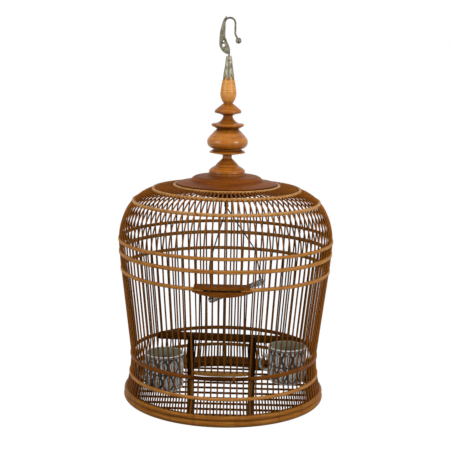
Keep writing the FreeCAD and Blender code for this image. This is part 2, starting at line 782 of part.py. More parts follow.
def swing_perch():
    perch = rod_between(swing_point(-swing_perch_half, swing_level),
                        swing_point(swing_perch_half, swing_level), swing_perch_radius)
    return perch.cut(leg_holes)


def swing_sleeve(side):
    """A closed porcelain teardrop over one end of the swing's perch."""
    bore = swing_perch_radius + peg_play
    start = swing_perch_half + peg_play + sleeve_end_wall - sleeve_length
    depth = sleeve_length - sleeve_end_wall
    full = sleeve_full_radius
    sleeve = turned([
        (bore, 0), (sleeve_slim_radius, 0),
        ((full - 0.4, 0.55 * sleeve_length), (full, sleeve_length - full)),
        ((full * math.sqrt(0.5), sleeve_length - full * (1 - math.sqrt(0.5))), (0, sleeve_length)),
        (0, depth), (bore, depth)])
    sleeve.Placement = FreeCAD.Placement(swing_point(side * start, swing_level),
                                         FreeCAD.Rotation(UP, swing_way * side))
    return sleeve.cut(leg_holes)


def cup(x, y):
    """A straight porcelain cup with a foot ring and one round ear."""
    inner = cup_radius - cup_wall
    foot = cup_foot_radius
    k = cup_round * (1 - math.sqrt(0.5))
    lip = cup_height - cup_wall / 2
    body = turned([
        (0, cup_foot_height), (foot - cup_foot_width, cup_foot_height), (foot - cup_foot_width, 0),
        (foot, 0), (foot, cup_foot_height),
        ((cup_radius - 1.6, cup_foot_height + k), (cup_radius, cup_foot_height + cup_round)),
        (cup_radius, lip), ((cup_radius - cup_wall / 2, cup_height), (inner, lip)),
        (inner, cup_floor + cup_round),
        ((inner - k, cup_floor + k), (inner - cup_round, cup_floor)), (0, cup_floor)])
    middle = cup_height / 2
    root = cup_radius - cup_wall / 2
    bow = Part.Arc(V(-root, 0, middle - ear_span / 2), V(-cup_radius - ear_reach, 0, middle),
                   V(-root, 0, middle + ear_span / 2)).toShape()
    ear = rod_along(Part.Wire([bow]), ear_radius).cut(Part.makeCylinder(root, cup_height))
    whole = body.fuse(ear).removeSplitter()
    whole.translate(V(x, y, floor_top + seat_gap))
    return whole


base_low, base_top = base_bands()
wall_end = shoulder_hoop_level - seat_gap / 2
door_post_right = right_post()
nodes = {
    "base_ring_lower": base_low,
    "base_ring_upper": base_top,
    "floor_rods": Part.makeCompound([floor_rod(row, rod_radius, rod_reach) for row in rod_rows]),
    "skirt_ring": wall_hoop(skirt_hoop_level, skirt_hoop_height, bar_angles + filler_angles),
    "waist_ring": waist_hoop(),
    "belly_ring_lower": cut_belly_hoop(),
    "belly_ring_middle": wall_hoop(belly_mid_level, belly_mid_height, bar_angles),
    "belly_ring_upper": wall_hoop(belly_high_level, belly_high_height, bar_angles),
    "shoulder_ring": wall_hoop(shoulder_hoop_level, shoulder_hoop_height, bar_angles),
    "crown_ring_outer": crown_hoop(crown_outer_radius, crown_outer_height),
    "crown_ring_inner": crown_hoop(crown_inner_radius, crown_inner_height),
    "wall_bars": ring_of(bar_stretch(0, wall_end), wall_angles),
    "head_bars": ring_of(bar_stretch(lintel_shelf + seat_gap, wall_end), door_angles),
    "sill_bars": ring_of(bar_stretch(0, waist_hoop_level + bar_radius), door_angles),
    "skirt_bars": ring_of(bar_stretch(0, skirt_hoop_level + bar_radius), filler_angles),
    "crown_bars": ring_of(bar_stretch(wall_end + seat_gap, cap_top), bar_angles),
    "lintel_upper": lintel_upper(),
    "lintel_lower": lintel_lower(),
    "lintel_pegs": Part.makeCompound([lintel_peg(side, peg_radius) for side in (-1, 1)]),
    "door_post_left": mirrored(door_post_right),
    "door_post_right": door_post_right,
    "waist_pegs": Part.makeCompound([waist_peg(angle, peg_radius) for angle in waist_peg_angles]),
    "waist_binding": waist_binding(),
    "lower_perch": lower_perch(),
    "top_cap": top_cap(),
    "cap_boss": cap_boss(),
    "tie_washer": tie_washer(),
    "tie_nut": tie_nut(),
    "tie_rod": tie_rod(),
    "finial_foot": finial_foot(),
    "finial_bulb": finial_bulb(),
    "finial_disc": finial_disc(),
    "finial_umbrella": finial_umbrella(),
    "finial_drop": finial_drop(),
    "hook_ferrule": hook_ferrule(),
    "hook_wire": hook_wire(),
    "hook_ball": hook_ball(),
    "hook_leaf": hook_leaf(),
    "door_bars": Part.makeCompound([door_bar(angle, bar_radius, door_bar_length) for angle in door_angles]),
    "door_rail": door_rail(),
    "swing_eye": swing_eye(),
    "swing_wire": hung(swing_wire()),
    "swing_perch": hung(swing_perch()),
    "swing_cap_front": hung(swing_sleeve(-1)),
    "swing_cap_back": hung(swing_sleeve(1)),
    "cup_left": cup(left_cup_x, left_cup_y),
    "cup_right": cup(right_cup_x, right_cup_y),
}

os.makedirs("parts", exist_ok=True)
for name, shape in nodes.items():
    shape.exportStep("parts/" + name + ".step")
    print(name, len(shape.Solids), "solids", round(shape.Volume), "mm3", "valid", shape.isValid())
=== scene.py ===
# %% [markdown]
# # A round bamboo and rattan bird cage
# The solid model brings every bar, hoop, cup and turned piece in real size. This notebook gives them their
# looks: colours, grain, varnish, glaze, and the small relief that is too fine for the solid model. The
# photo was taken on white, nearly level with the finial, with a soft light on each side of the camera.

# %% Load the solid model
import math
import bpy
from mathutils import Matrix, Vector

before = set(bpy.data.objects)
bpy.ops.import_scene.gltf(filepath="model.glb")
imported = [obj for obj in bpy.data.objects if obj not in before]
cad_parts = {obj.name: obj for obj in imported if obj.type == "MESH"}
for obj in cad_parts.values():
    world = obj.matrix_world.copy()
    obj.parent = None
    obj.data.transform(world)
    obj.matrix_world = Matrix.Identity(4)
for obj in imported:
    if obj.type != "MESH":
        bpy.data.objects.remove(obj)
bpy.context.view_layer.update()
scene = bpy.context.scene
scene.view_settings.view_transform = "Standard"

# %% [markdown]
# ## Camera
# A hoop is a circle, so the width and height of its ellipse in the photo give the camera: about 1.85 m in
# front, 0.62 m up, looking 9.8 degrees down through a long lens. Dragging a camera about until the picture
# looks right is another way, but it doesn't settle how far away the camera stood. The door stands a little
# left of the middle, so the camera goes 1.4 degrees round to the right. The cage leans one degree to the
# right in the picture, so the camera is rolled by one degree.

# %% Camera
camera_place = (0, -1.8509, 0.6215)
degrees_round = 1.4
degrees_down = 9.77
degrees_rolled = 1.03
camera_data = bpy.data.cameras.new("camera")
camera_data.sensor_width = 36
camera_data.lens = 87.38
camera_data.shift_x = -0.0022
camera = bpy.data.objects.new("camera", camera_data)
swing_round = Matrix.Rotation(math.radians(degrees_round), 4, "Z")
tilt = Matrix.Rotation(math.radians(90 - degrees_down), 4, "X")
roll = Matrix.Rotation(math.radians(degrees_rolled), 4, "Z")
camera.matrix_world = swing_round @ Matrix.Translation(camera_place) @ tilt @ roll
scene.collection.objects.link(camera)
scene.camera = camera
print("camera", tuple(round(v, 3) for v in camera.location))

# %% [markdown]
# ## Lamps
# The bulb of the finial mirrors two soft spots, one on each side, so two large soft boxes stand well to the
# sides of the camera, about 55 degrees round. Point lamps would leave hard dots, so these are area lamps. A
# third one overhead lights the tops of the hoops, and a fourth one behind keeps the back from going black.
# The bulb mirrors no more than two spots, so the third and fourth are hidden from anything that mirrors.

# %% Lamps
cage_middle = Vector((0, 0, 0.30))


def soft_box(name, place, size, power, mirrored=True):
    """A rectangular lamp that looks at the middle of the cage."""
    data = bpy.data.lights.new(name, "AREA")
    data.shape = "RECTANGLE"
    data.size, data.size_y = size
    data.energy = power
    box = bpy.data.objects.new(name, data)
    way = cage_middle - Vector(place)
    box.matrix_world = Matrix.Translation(place) @ way.to_track_quat("-Z", "Y").to_matrix().to_4x4()
    box.visible_glossy = mirrored
    scene.collection.objects.link(box)


soft_box("light_left", place=(-1.95, -1.30, 0.95), size=(0.7, 0.9), power=26)
soft_box("light_right", place=(1.85, -1.40, 0.95), size=(0.7, 0.9), power=36)
soft_box("light_top", place=(0, -0.6, 1.9), size=(1.2, 1.0), power=10, mirrored=False)
soft_box("light_back", place=(0.5, 2.3, 1.1), size=(0.9, 0.9), power=16, mirrored=False)

# %% [markdown]
# ## A helper for nodes
# Every finish here is worked out by nodes from the place of a point, so that none depends on a picture.
# Adding nodes and links one line at a time gets long, so `Nodes` adds a node, fills its sockets with values
# or links, and hands back the socket that the next step needs.

# %% Node helper
class Nodes:
    """Adds nodes to one node tree and links them."""

    def __init__(self, tree):
        self.tree = tree

    def put(self, value, socket):
        """Links the socket if the value is a socket too, and otherwise sets it."""
        if isinstance(value, bpy.types.NodeSocket):
            self.tree.links.new(value, socket)
        else:
            socket.default_value = value

    def add(self, kind, inputs=None, **settings):
        node = self.tree.nodes.new(kind)
        for key, value in settings.items():
            setattr(node, key, value)
        for key, value in (inputs or {}).items():
            self.put(value, node.inputs[key])
        return node

    def math(self, operation, *values):
        node = self.add("ShaderNodeMath", operation=operation)
        for socket, value in zip(node.inputs, values):
            self.put(value, socket)
        return node.outputs[0]

    def join(self, x, y, z):
        return self.add("ShaderNodeCombineXYZ", {"X": x, "Y": y, "Z": z}).outputs[0]

    def split(self, vector):
        return self.add("ShaderNodeSeparateXYZ", {0: vector}).outputs

    def mix(self, fac, first, second):
        """Mixes two colours. The Mix node takes colours at its sockets 6 and 7 and gives one at 2."""
        node = self.add("ShaderNodeMix", data_type="RGBA")
        for socket, value in zip((node.inputs[0], node.inputs[6], node.inputs[7]), (fac, first, second)):
            self.put(value, socket)
        return node.outputs[2]

    def span(self, value, low, high, to_low=0.0, to_high=1.0):
        """A smooth step from one value to another, where the input goes from low to high."""
        inputs = {"Value": value, "From Min": low, "From Max": high, "To Min": to_low, "To Max": to_high}
        return self.add("ShaderNodeMapRange", inputs, interpolation_type="SMOOTHSTEP").outputs["Result"]

    def noise(self, vector, scale, detail=3.0, roughness=0.5):
        inputs = {"Vector": vector, "Scale": scale, "Detail": detail, "Roughness": roughness}
        return self.add("ShaderNodeTexNoise", inputs).outputs["Fac"]

    def group(self, tree, **inputs):
        return self.add("ShaderNodeGroup", inputs, node_tree=tree).outputs


print("node helper ready")

# %% [markdown]
# ## Background
# The photo's background is plain white. A bright white world would also flood the cage with light, so the
# world has two parts. The camera, and anything that mirrors, sees white. The light that the world sends to
# the cage is a dim grey, darker from below.

# %% Background
world_strength = 0.13
floor_grey, floor_stop = (0.06, 0.05, 0.04, 1), 0.35
sky_grey, sky_stop = (1.0, 0.97, 0.92, 1), 0.75
world = bpy.data.worlds.new("world")
scene.world = world
world.use_nodes = True
world.node_tree.nodes.clear()
kit = Nodes(world.node_tree)
upward = kit.split(kit.add("ShaderNodeTexCoord").outputs["Generated"])["Z"]
rise = kit.add("ShaderNodeMapRange", {"Value": upward, "From Min": -1}).outputs["Result"]
ramp = kit.add("ShaderNodeValToRGB", {"Fac": rise})
for stop, colour, position in zip(ramp.color_ramp.elements, (floor_grey, sky_grey), (floor_stop, sky_stop)):
    stop.color = colour
    stop.position = position
dim = kit.add("ShaderNodeBackground", {"Color": ramp.outputs["Color"], "Strength": world_strength})
white = kit.add("ShaderNodeBackground", {"Color": (1, 1, 1, 1), "Strength": 1})
path = kit.add("ShaderNodeLightPath").outputs
mirrored = kit.math("MAXIMUM", path["Is Glossy Ray"], path["Is Transmission Ray"])
seen = kit.math("MAXIMUM", path["Is Camera Ray"], mirrored)
both = kit.add("ShaderNodeMixShader", {"Fac": seen, 1: dim.outputs[0], 2: white.outputs[0]})
kit.add("ShaderNodeOutputWorld", {"Surface": both.outputs[0]})
print("background", len(world.node_tree.nodes), "nodes")

# %% [markdown]
# ## Where a point lies round the cage
# Bars, hoops and cups go round an upright axis, so most finishes need the angle, radius and height of a
# point, and how far the surface faces away from the axis. Unwrapping every mesh could give the same, but a
# node group needs no unwrapping and fits every piece.

# %% Around
def new_group(name, inputs, outputs):
    """An empty node group. Its sockets are numbers, apart from one named Point, which is a vector."""
    tree = bpy.data.node_groups.new(name, "ShaderNodeTree")
    for side, sockets in (("INPUT", inputs), ("OUTPUT", outputs)):
        for socket in sockets:
            kind = "NodeSocketVector" if socket == "Point" else "NodeSocketFloat"
            tree.interface.new_socket(name=socket, in_out=side, socket_type=kind)
    kit = Nodes(tree)
    return kit, kit.add("NodeGroupInput").outputs, kit.add("NodeGroupOutput").inputs


smallest_radius = 0.0001
kit, get, give = new_group("Around", ["Axis X", "Axis Y"], ["Angle", "Radius", "Height", "Outward", "Point"])
coords = kit.add("ShaderNodeTexCoord").outputs
place = kit.split(coords["Object"])
facing = kit.split(coords["Normal"])
dx = kit.math("SUBTRACT", place["X"], get["Axis X"])
dy = kit.math("SUBTRACT", place["Y"], get["Axis Y"])
radius = kit.math("SQRT", kit.math("ADD", kit.math("MULTIPLY", dx, dx), kit.math("MULTIPLY", dy, dy)))
away = kit.math("ADD", kit.math("MULTIPLY", dx, facing["X"]), kit.math("MULTIPLY", dy, facing["Y"]))
kit.put(kit.math("ARCTAN2", dx, kit.math("MULTIPLY", dy, -1.0)), give["Angle"])
kit.put(radius, give["Radius"])
kit.put(place["Z"], give["Height"])
kit.put(kit.math("DIVIDE", away, kit.math("MAXIMUM", radius, smallest_radius)), give["Outward"])
kit.put(coords["Object"], give["Point"])
around = kit.tree
print("group", around.name)

# %% [markdown]
# ## Fibres
# Bamboo, rattan and wood all show fibres. Noise that is drawn out along one coordinate looks like them: a
# long stride along the grain and a short one across it. The group gives a coarse and a fine value.

# %% Fibres
kit, get, give = new_group("Fibres", ["Along", "Across", "Depth", "Length", "Width", "Seed"],
                           ["Value", "Fine"])
run = kit.math("DIVIDE", get["Along"], get["Length"])
side = kit.math("DIVIDE", get["Across"], get["Width"])
deep = kit.math("ADD", kit.math("DIVIDE", get["Depth"], get["Width"]), get["Seed"])
spot = kit.join(run, side, deep)
kit.put(kit.noise(spot, scale=1.0, detail=4.0, roughness=0.55), give["Value"])
kit.put(kit.noise(spot, scale=4.3, detail=2.0), give["Fine"])
fibres = kit.tree
print("group", fibres.name)

# %% [markdown]
# ## Each bar's own shade
# No two bars of split bamboo have quite the same colour. A material for each bar would be long, so the bar's
# angle picks a random number instead: one turn is cut into sectors, and each sector has its own number.

# %% Each bar
sectors = 192.0
first_index = 500.0  # keeps every index above zero
kit, get, give = new_group("Each bar", ["Angle", "Seed"], ["Random"])
turns = kit.math("DIVIDE", get["Angle"], 2 * math.pi)
index = kit.math("FLOOR", kit.math("ADD", kit.math("MULTIPLY", turns, sectors), first_index))
draw = kit.math("ADD", index, get["Seed"])
chance = kit.add("ShaderNodeTexWhiteNoise", {"W": draw}, noise_dimensions="1D")
kit.put(chance.outputs["Value"], give["Random"])
each_bar = kit.tree
print("group", each_bar.name)

# %% [markdown]
# ## A plain material to start from
# Each finish is one Principled shader with its own nodes in front of it. Two small helpers are shared: one
# gives a darker shade of a colour, and one turns a value into fine relief. That relief is a bump, because it
# is far too small to be worth faces in the mesh.

# %% Material helpers
def new_material(name):
    """A material with an empty Principled shader, and its node helper."""
    material = bpy.data.materials.new(name)
    material.use_nodes = True
    material.node_tree.nodes.clear()
    kit = Nodes(material.node_tree)
    shader = kit.add("ShaderNodeBsdfPrincipled")
    kit.add("ShaderNodeOutputMaterial", {"Surface": shader.outputs[0]})
    return material, kit, shader


def shade(colour, factor):
    return [factor * c for c in colour[:3]] + [1]


def bump(kit, shader, height, strength, distance):
    node = kit.add("ShaderNodeBump", {"Height": height, "Strength": strength, "Distance": distance})
    kit.put(node.outputs[0], shader.inputs["Normal"])


grain_radius = 0.17  # metres, turns an angle round the cage into a length
look = {}
print("material helpers ready")

# %% [markdown]
# ## Bamboo
# The bars are split bamboo. Their rind faces out and has darkened under its varnish; part of that darker
# colour is painted shade on the faces turned out. Their cut sides stay orange, and their pith faces in, a
# dull dark brown. Painting three stripes on each bar would take an unwrapped mesh, so the way that the
# surface faces decides between the three.

# %% Bamboo
def bamboo(name, side, pith, seed=0.0):
    """Split bamboo bars. `side` is the colour of their cut sides, which the rind darkens, partly as painted
    shade.
    """
    material, kit, shader = new_material(name)
    at = kit.group(around)
    chance = kit.group(each_bar, Angle=at["Angle"], Seed=seed)["Random"]
    across = kit.math("MULTIPLY", at["Angle"], grain_radius)
    grain = kit.group(fibres, Along=at["Height"], Across=across, Depth=at["Radius"], Length=0.035,
                      Width=0.0011, Seed=seed)
    outer = kit.mix(kit.span(grain["Value"], 0.30, 0.72), shade(side, 0.62), side)
    outer = kit.mix(kit.math("MULTIPLY", chance, 0.55), outer, shade(side, 0.50))
    patch = kit.noise(at["Point"], scale=26.0, detail=2.0)
    outer = kit.mix(kit.span(patch, 0.55, 0.80, 0.0, 0.55), outer, shade(side, 0.42))
    # Painted shade, in part: faces turned out are darkened for the rind and for the shade on the bar fronts.
    rind_and_shade = kit.span(at["Outward"], 0.50, 0.92, 0.0, 0.80)
    outer = kit.mix(rind_and_shade, outer, shade(side, 0.16))
    inner = kit.mix(grain["Value"], pith, shade(pith, 0.55))
    faces_out = kit.span(at["Outward"], -0.25, 0.45)
    kit.put(kit.mix(faces_out, inner, outer), shader.inputs["Base Color"])
    kit.put(kit.span(faces_out, 0.0, 1.0, 0.62, 0.33), shader.inputs["Roughness"])
    shader.inputs["Specular IOR Level"].default_value = 0.05
    bump(kit, shader, grain["Fine"], strength=0.25, distance=0.0002)
    return material


brown_pith = (0.080, 0.026, 0.003, 1)
look["bars"] = bamboo("bamboo bars", (0.58, 0.180, 0.010, 1), (0.085, 0.028, 0.003, 1))
look["crown"] = bamboo("bamboo crown bars", (0.42, 0.122, 0.006, 1), brown_pith, seed=29.0)
look["door"] = bamboo("bamboo door bars", (0.42, 0.125, 0.008, 1), brown_pith, seed=41.0)
# Painted shade: the skirt bars are a darker copy of the bars, for the deep shade low in the cage.
look["skirt"] = bamboo("bamboo skirt bars in painted shade", (0.19, 0.055, 0.004, 1), (0.040, 0.013, 0.002, 1), seed=17.0)
print("bamboo done,", len(look), "finishes so far")

# %% [markdown]
# ## Rattan
# The hoops and the base are rattan bent into rings: golden, with darker fibres and blotches, and duller on
# the inner face. Plain noise in space would run straight through a ring, so the fibres here follow the
# angle round the cage. The shoulder hoop shows the slanting joint of its ends. The waist hoop is darker,
# and darkest at the door.

# %% Rattan
dull_brown = (0.07, 0.035, 0.012, 1)
door_brown = (0.035, 0.010, 0.002, 1)
joint_brown = (0.045, 0.016, 0.004, 1)
joint_slope = 1.3
blotch_rate = 6.0


def rattan(name, light, dark, door_dark=0.0, scarf=None):
    """Rattan bent round the cage, darker at the door by the given amount. `scarf` is a joint's angle and
    level.
    """
    material, kit, shader = new_material(name)
    at = kit.group(around)
    along = kit.math("MULTIPLY", at["Angle"], grain_radius)
    grain = kit.group(fibres, Along=along, Across=at["Height"], Depth=at["Radius"], Length=0.030,
                      Width=0.0011, Seed=3.0)
    unrolled = kit.join(kit.math("MULTIPLY", at["Angle"], blotch_rate), at["Height"], 0.0)
    blotch = kit.noise(unrolled, scale=1.6, detail=4.0)
    colour = kit.mix(kit.span(grain["Value"], 0.32, 0.70), dark, light)
    colour = kit.mix(kit.span(blotch, 0.50, 0.74, 0.0, 0.55), colour, shade(dark, 0.55))
    flecks = kit.span(grain["Fine"], 0.66, 0.74, 0.0, 0.6)
    colour = kit.mix(flecks, colour, shade(dark, 0.30))
    faces_out = kit.span(at["Outward"], -0.2, 0.2)
    colour = kit.mix(faces_out, kit.mix(0.5, colour, dull_brown), colour)
    # Darker towards the front of the hoop, at the door.
    at_door = kit.span(kit.math("ABSOLUTE", at["Angle"]), 0.45, 0.22, 0.0, door_dark)
    colour = kit.mix(at_door, colour, door_brown)
    if scarf:
        angle, level = scarf
        run = kit.math("SUBTRACT", along, grain_radius * angle)
        climb = kit.math("MULTIPLY", kit.math("SUBTRACT", at["Height"], level), joint_slope)
        slant = kit.math("ABSOLUTE", kit.math("ADD", run, climb))
        colour = kit.mix(kit.span(slant, 0.0018, 0.0008, 0.0, 0.85), colour, joint_brown)
    kit.put(colour, shader.inputs["Base Color"])
    kit.put(kit.span(grain["Value"], 0.2, 0.8, 0.30, 0.48), shader.inputs["Roughness"])
    shader.inputs["Specular IOR Level"].default_value = 0.04
    bump(kit, shader, grain["Value"], strength=0.30, distance=0.0003)
    return material


shoulder_joint = (-0.265, 0.345)  # radians from the front, metres up
look["rattan"] = rattan("rattan hoops", (0.66, 0.300, 0.078, 1), (0.39, 0.148, 0.028, 1))
look["pale"] = rattan("pale rattan hoops", (0.70, 0.380, 0.145, 1), (0.45, 0.205, 0.056, 1),
                      scarf=shoulder_joint)
look["crown_hoops"] = rattan("rattan crown hoops", (0.68, 0.350, 0.115, 1), (0.42, 0.180, 0.042, 1))
look["waist"] = rattan("dark rattan hoop", (0.30, 0.095, 0.010, 1), (0.15, 0.042, 0.004, 1), door_dark=0.9)
look["base"] = rattan("rattan base", (0.43, 0.176, 0.032, 1), (0.24, 0.080, 0.011, 1))
print("rattan done,", len(look), "finishes so far")

# %% [markdown]
# ## Turned wood
# The cap and the finial come from the lathe. The photo shows faint bands round them and hardly any upright
# grain, so the bands that follow the height are strong here and the fibres are weak. Hollows between the
# turned rings are darkened as painted shade. The bulb shines most and the cap least.

# %% Turned wood
band_tilt = 0.06


def turned_wood(name, light, dark, roughness, coat, rings=0.0):
    """Wood from the lathe. `rings` is the strength of fine turned lines on its flat faces."""
    material, kit, shader = new_material(name)
    at = kit.group(around)
    place = kit.split(at["Point"])
    upright = {"Along": at["Height"], "Across": place["X"], "Depth": place["Y"]}
    grain = kit.group(fibres, **upright, Length=0.060, Width=0.0045, Seed=9.0)
    pores = kit.group(fibres, **upright, Length=0.012, Width=0.0007, Seed=2.0)
    broad = kit.group(fibres, **upright, Length=0.050, Width=0.0130, Seed=4.0)
    colour = kit.mix(kit.span(grain["Value"], 0.10, 0.90), dark, light)
    colour = kit.mix(kit.span(broad["Value"], 0.50, 0.68, 0.0, 0.12), colour, shade(dark, 0.70))
    colour = kit.mix(kit.span(pores["Value"], 0.62, 0.72, 0.0, 0.20), colour, shade(dark, 0.45))
    level = kit.join(kit.math("MULTIPLY", place["X"], band_tilt), 0.0, at["Height"])
    bands = kit.span(kit.noise(level, scale=260.0), 0.45, 0.64, 0.0, 0.70)
    colour = kit.mix(bands, colour, shade(dark, 0.72))
    circles = kit.noise(kit.join(at["Radius"], 0.0, 0.0), scale=420.0, detail=2.0)
    colour = kit.mix(kit.span(circles, 0.45, 0.62, 0.0, rings), colour, shade(dark, 0.45))
    # Painted shade: the colour darkens in hollows and under rims, where less light reaches.
    hollow = kit.add("ShaderNodeAmbientOcclusion", {"Distance": 0.014}, samples=4).outputs["AO"]
    colour = kit.mix(kit.span(hollow, 0.35, 0.95), shade(dark, 0.25), colour)
    kit.put(colour, shader.inputs["Base Color"])
    kit.put(kit.span(grain["Value"], 0.2, 0.8, roughness, roughness + 0.12), shader.inputs["Roughness"])
    shader.inputs["Coat Weight"].default_value = coat
    shader.inputs["Coat Roughness"].default_value = 0.30
    shader.inputs["Specular IOR Level"].default_value = 0.12
    lathe = kit.noise(kit.join(0.0, 0.0, at["Height"]), scale=900.0, detail=2.0)
    relief = kit.math("ADD", lathe, kit.math("MULTIPLY", pores["Fine"], 0.6))
    bump(kit, shader, relief, strength=0.12, distance=0.0003)
    return material


look["cap"] = turned_wood("cap wood", (0.315, 0.085, 0.007, 1), (0.18, 0.043, 0.003, 1),
                          roughness=0.50, coat=0.0, rings=0.6)
look["finial"] = turned_wood("finial wood", (0.51, 0.170, 0.018, 1), (0.335, 0.097, 0.008, 1),
                             roughness=0.34, coat=0.22)
look["bulb"] = turned_wood("finial bulb wood", (0.63, 0.224, 0.022, 1), (0.45, 0.136, 0.011, 1),
                           roughness=0.28, coat=0.50)
look["drop"] = turned_wood("finial drop wood", (0.88, 0.420, 0.110, 1), (0.73, 0.300, 0.055, 1),
                           roughness=0.36, coat=0.20)
print("turned wood done,", len(look), "finishes so far")

# %% [markdown]
# ## Planed and drawn wood
# The lintel's boards, the door's rail and posts, the perches and the floor rods are straight pieces, so
# their fibres follow one axis of the cage. The posts are nearly black above the waist hoop, partly dark wood
# and partly painted shade, and olive brown below it. Two materials could meet there, but one with a soft
# change of colour shows no edge.

# %% Straight wood
level_softness = 0.006


def straight_wood(name, light, dark, length_axis, roughness=0.48, below_level=None):
    """Wood with its grain along X, Y or Z, and, if a level is given, another colour below that level."""
    material, kit, shader = new_material(name)
    at = kit.group(around)
    place = kit.split(at["Point"])
    first, second = [axis for axis in "XYZ" if axis != length_axis]
    grain = kit.group(fibres, Along=place[length_axis], Across=place[first], Depth=place[second],
                      Length=0.040, Width=0.0018, Seed=5.0)
    wear = kit.noise(at["Point"], scale=60.0, detail=4.0)
    streaks = kit.span(grain["Value"], 0.30, 0.70)
    colour = kit.mix(streaks, dark, light)
    colour = kit.mix(kit.span(wear, 0.50, 0.75, 0.0, 0.5), colour, shade(dark, 0.5))
    if below_level:
        level, lower_brown = below_level
        below = kit.span(at["Height"], level + level_softness, level - level_softness)
        colour = kit.mix(below, colour, kit.mix(streaks, shade(lower_brown, 0.55), lower_brown))
    kit.put(colour, shader.inputs["Base Color"])
    kit.put(kit.span(wear, 0.3, 0.7, roughness, roughness + 0.15), shader.inputs["Roughness"])
    shader.inputs["Specular IOR Level"].default_value = 0.04
    bump(kit, shader, grain["Value"], strength=0.3, distance=0.0003)
    return material


waist_level = 0.074
olive_brown = (0.16, 0.076, 0.014, 1)
look["rods"] = straight_wood("bamboo floor rods", (0.080, 0.027, 0.003, 1), (0.040, 0.013, 0.002, 1), "X")
look["board"] = straight_wood("lintel board", (0.25, 0.080, 0.008, 1), (0.14, 0.040, 0.004, 1), "X", 0.50)
look["rail"] = straight_wood("door rail", (0.36, 0.170, 0.036, 1), (0.20, 0.084, 0.015, 1), "X", 0.42)
# Painted shade, in part: the posts' near-black above the waist hoop stands for shade as well as dark wood.
look["post"] = straight_wood("dark post with painted shade", (0.026, 0.009, 0.002, 1), (0.012, 0.004, 0.001, 1), "Z",
                             below_level=(waist_level, olive_brown))
# Painted shade: the perches' colour is darkened for the shade inside the cage.
look["perch"] = straight_wood("perch in painted shade", (0.074, 0.026, 0.004, 1), (0.034, 0.012, 0.002, 1), "X")
print("straight wood done,", len(look), "finishes so far")

# %% [markdown]
# ## Metal and wire
# The hook and its ferrule are a grey-yellow cast metal, dark where polish never reaches. The leaf is punched
# all over with small beads, and lines run down the ferrule. Both are too small for the solid model, so they
# are bumps. The swing hangs from blackened wire, and the tie rod inside the finial is plain steel.

# %% Metals
ferrule_radius = 0.007
line_half_pitch = 0.0022


def metal(name, bright, dull, roughness, metallic, chasing=None):
    """Bare metal, dark in its hollows. `chasing` is "beads" or "lines" worked into the face."""
    material, kit, shader = new_material(name)
    at = kit.group(around)
    cloud = kit.noise(at["Point"], scale=150.0, detail=4.0, roughness=0.55)
    relief = cloud
    hollow = kit.add("ShaderNodeAmbientOcclusion", {"Distance": 0.004}, samples=4).outputs["AO"]
    clean = kit.math("MULTIPLY", kit.span(cloud, 0.30, 0.62), kit.span(hollow, 0.35, 0.95))
    if chasing == "beads":
        cells = kit.add("ShaderNodeTexVoronoi", {"Vector": at["Point"], "Scale": 330.0}, feature="F1")
        relief = kit.span(cells.outputs["Distance"], 0.62, 0.20)
    if chasing == "lines":
        step = kit.math("PINGPONG", kit.math("MULTIPLY", at["Angle"], ferrule_radius), line_half_pitch)
        relief = kit.span(step, 0.0002, 0.0012)
    if chasing:
        clean = kit.math("MULTIPLY", clean, kit.span(relief, 0.0, 1.0, 0.55, 1.0))
    kit.put(kit.mix(clean, dull, bright), shader.inputs["Base Color"])
    kit.put(kit.span(cloud, 0.3, 0.7, roughness + 0.16, roughness), shader.inputs["Roughness"])
    shader.inputs["Metallic"].default_value = metallic
    bump(kit, shader, relief, strength=0.45 if chasing else 0.12, distance=0.0004)
    return material


grey = (0.33, 0.30, 0.215, 1)
dark_grey = (0.065, 0.056, 0.034, 1)
look["pewter"] = metal("grey brass", grey, dark_grey, 0.42, 0.7)
look["hook"] = metal("darkened grey brass", (0.17, 0.152, 0.105, 1), dark_grey, 0.40, 0.7)
look["leaf"] = metal("chased grey brass", grey, dark_grey, 0.45, 0.6, "beads")
look["ferrule"] = metal("lined grey brass", (0.28, 0.255, 0.180, 1), (0.12, 0.106, 0.066, 1), 0.40, 0.6,
                        "lines")
look["steel"] = metal("plain steel", (0.55, 0.55, 0.54, 1), (0.28, 0.27, 0.26, 1), 0.35, 1.0)
look["wire"] = metal("black wire", (0.030, 0.028, 0.026, 1), (0.012, 0.011, 0.010, 1), 0.42, 0.3)
print("metals done,", len(look), "finishes so far")

# %% [markdown]
# ## Painting on porcelain
# The cups and the ends of the swing are off-white porcelain, painted in blue under a clear glaze. The
# painting is a traditional kind: staggered rows of pointed petals with a vein and a pale wash, on a dark
# blue ground with small lozenges left white. A picture could be laid on, but formulas stay sharp at any
# size. One group draws the painting on a flat strip, and each piece wraps that strip round itself. A little
# noise bends the lines as a brush would.

# %% Painted petals
petal_half_width = 0.41
brush_wobble = 0.30
barb_rate = 44.0
kit, get, give = new_group("Painted petals", ["Along", "Up", "Pitch", "Rise", "Seed"], ["Ink", "Wash"])
u = kit.math("DIVIDE", get["Along"], get["Pitch"])
v = kit.math("DIVIDE", get["Up"], get["Rise"])
wobble = kit.noise(kit.join(u, v, get["Seed"]), scale=1.9, detail=2.0)
u = kit.math("ADD", u, kit.math("MULTIPLY", kit.math("SUBTRACT", wobble, 0.5), brush_wobble))
row = kit.math("FLOOR", v)
u = kit.math("ADD", u, kit.math("FRACT", kit.math("MULTIPLY", row, 0.5)))
sideways = kit.math("ABSOLUTE", kit.math("SUBTRACT", kit.math("FRACT", u), 0.5))
upwards = kit.math("SUBTRACT", kit.math("FRACT", v), 0.5)
swell = kit.math("COSINE", kit.math("MULTIPLY", upwards, math.pi))
edge = kit.math("SUBTRACT", kit.math("MULTIPLY", swell, petal_half_width), sideways)
petal = kit.span(edge, 0.02, 0.07)
